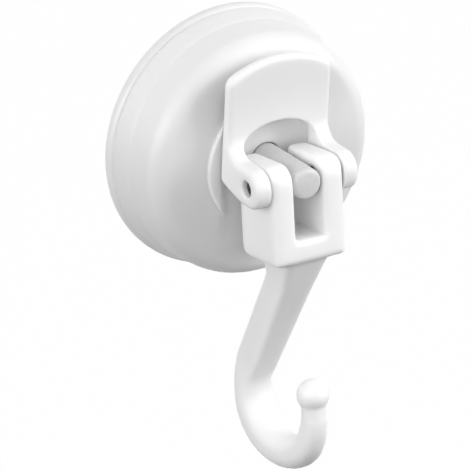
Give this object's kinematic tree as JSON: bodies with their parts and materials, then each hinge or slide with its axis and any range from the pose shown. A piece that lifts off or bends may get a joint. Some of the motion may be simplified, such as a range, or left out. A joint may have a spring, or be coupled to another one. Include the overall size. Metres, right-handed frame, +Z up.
{
  "type": "suction cup hook",
  "caption": "Lever-locked suction cup with a stepped round cap, a cam lever on a cross pin and a swinging J-hook that ends in a ball.",
  "frame": {"origin": "on the wall, at the middle of the suction pad's flat sealing ring", "axes": "+Z up, +Y into the wall, +X to the right along the pivot pin"},
  "size_m": [0.059, 0.0415, 0.0981],
  "materials": {
    "white_plastic": "moulded plastic with a soft gloss",
    "stem": "milky, satin",
    "pin_steel": "drawn wire, satin",
    "pad_rubber": "soft vinyl, smooth"
  },
  "bodies": {
    "base": {"housing": "white_plastic", "suction_pad": "pad_rubber"},
    "stem": {"pull_stem": "stem", "pivot_pin": "pin_steel"},
    "lever_arm": {"lever": "white_plastic"},
    "hook_arm": {"hook": "white_plastic"}
  },
  "joints": [
    {"name": "stem_travel", "type": "slide", "parent": "base", "child": "stem", "axis": [0, 1, 0], "range_m": [0, 0.0015]},
    {"name": "lever_pivot", "type": "hinge", "parent": "stem", "child": "lever_arm", "pos_m": [0, -0.0299, 0], "axis": [1, 0, 0], "range_deg": [0, 90]},
    {"name": "hook_swing", "type": "hinge", "parent": "stem", "child": "hook_arm", "pos_m": [0, -0.0299, 0], "axis": [-1, 0, 0], "range_deg": [-5, 85]}
  ],
  "couplings": [
    {"joint": "stem_travel", "follows": "lever_pivot", "m_per_rad": 0.000954}
  ]
}
